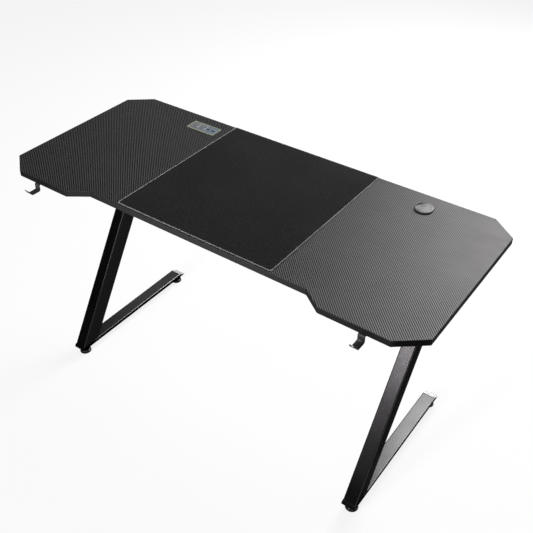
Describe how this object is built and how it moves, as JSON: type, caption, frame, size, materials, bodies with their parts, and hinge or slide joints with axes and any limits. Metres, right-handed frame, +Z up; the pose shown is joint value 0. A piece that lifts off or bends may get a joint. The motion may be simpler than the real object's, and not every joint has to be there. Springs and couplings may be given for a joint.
{
  "type": "gaming desk",
  "caption": "Straight gaming desk with a carbon-look top, recessed front edge, cloth desk mat, Z-shaped steel side frames, levelling feet, headset hooks, a cable outlet and a power panel.",
  "frame": {"origin": "centre of the desk's footprint on the floor, headset hooks included", "axes": "+X along the length of the top to the user's right, +Y from the user to the rear edge, +Z up"},
  "size_m": [1.4, 0.636, 0.75],
  "materials": {
    "board": "raw particle board",
    "laminate": "carbon-weave laminate, satin",
    "band": "dark edge band with a fine slanted weave, satin",
    "mat": "black cloth on rubber, grey stitched border",
    "frame": "fine powder coat, satin black",
    "hook": "satin black paint",
    "fastener": "black oxide",
    "stud": "zinc plated",
    "foot_plastic": "moulded, matt black",
    "outlet_plastic": "moulded, satin black",
    "lid_plastic": "moulded, satin grey",
    "panel_rim": "thin pale olive rim on a moulded housing, satin",
    "panel_face": "smooth blue-grey face plate, glossy"
  },
  "bodies": {
    "desk": {"desktop_board": "board", "carbon_top_sheet": "laminate", "edge_band": "band", "desk_mat": "mat", "post_left": "frame", "post_right": "frame", "foot_bar_left": "frame", "foot_bar_right": "frame", "foot_bar_left_plate_front": "frame", "foot_bar_left_plate_rear": "frame", "foot_bar_right_plate_front": "frame", "foot_bar_right_plate_rear": "frame", "top_bar_left": "frame", "top_bar_right": "frame", "top_bar_left_plate_front": "frame", "top_bar_left_plate_rear": "frame", "top_bar_right_plate_front": "frame", "top_bar_right_plate_rear": "frame", "crossbeam_front": "frame", "crossbeam_rear": "frame", "beam_plate_front_left": "frame", "beam_plate_front_right": "frame", "beam_plate_rear_left": "frame", "beam_plate_rear_right": "frame", "beam_bolt_front_left_1": "fastener", "beam_bolt_front_left_2": "fastener", "beam_bolt_front_right_1": "fastener", "beam_bolt_front_right_2": "fastener", "beam_bolt_rear_left_1": "fastener", "beam_bolt_rear_left_2": "fastener", "beam_bolt_rear_right_1": "fastener", "beam_bolt_rear_right_2": "fastener", "board_screw_front_left": "fastener", "board_screw_rear_left": "fastener", "board_screw_front_right": "fastener", "board_screw_rear_right": "fastener", "headset_hook_left": "hook", "headset_hook_right": "hook", "hook_screw_left_1": "fastener", "hook_screw_left_2": "fastener", "hook_screw_right_1": "fastener", "hook_screw_right_2": "fastener", "foot_collar_front_left": "fastener", "foot_collar_front_right": "fastener", "foot_collar_rear_left": "fastener", "foot_collar_rear_right": "fastener", "grommet_sleeve": "outlet_plastic", "power_housing": "panel_rim", "power_face": "panel_face"},
    "foot_front_left": {"foot_pad_front_left": "foot_plastic", "foot_stud_front_left": "stud"},
    "foot_front_right": {"foot_pad_front_right": "foot_plastic", "foot_stud_front_right": "stud"},
    "foot_rear_left": {"foot_pad_rear_left": "foot_plastic", "foot_stud_rear_left": "stud"},
    "foot_rear_right": {"foot_pad_rear_right": "foot_plastic", "foot_stud_rear_right": "stud"},
    "lid": {"grommet_lid": "lid_plastic", "grommet_pin": "stud"},
    "shutter": {"grommet_shutter": "lid_plastic"}
  },
  "joints": [
    {"name": "foot_lift_front_left", "type": "slide", "parent": "desk", "child": "foot_front_left", "axis": [0, 0, -1], "range_m": [0, 0.01]},
    {"name": "foot_lift_front_right", "type": "slide", "parent": "desk", "child": "foot_front_right", "axis": [0, 0, -1], "range_m": [0, 0.01]},
    {"name": "foot_lift_rear_left", "type": "slide", "parent": "desk", "child": "foot_rear_left", "axis": [0, 0, -1], "range_m": [0, 0.01]},
    {"name": "foot_lift_rear_right", "type": "slide", "parent": "desk", "child": "foot_rear_right", "axis": [0, 0, -1], "range_m": [0, 0.01]},
    {"name": "lid_turn", "type": "hinge", "parent": "desk", "child": "lid", "pos_m": [0.446, 0.24701, 0.7486], "axis": [0, 0, 1], "continuous": true},
    {"name": "shutter_turn", "type": "hinge", "parent": "lid", "child": "shutter", "pos_m": [0.446, 0.24701, 0.74655], "axis": [0, 0, 1], "range_deg": [0, 135]}
  ]
}
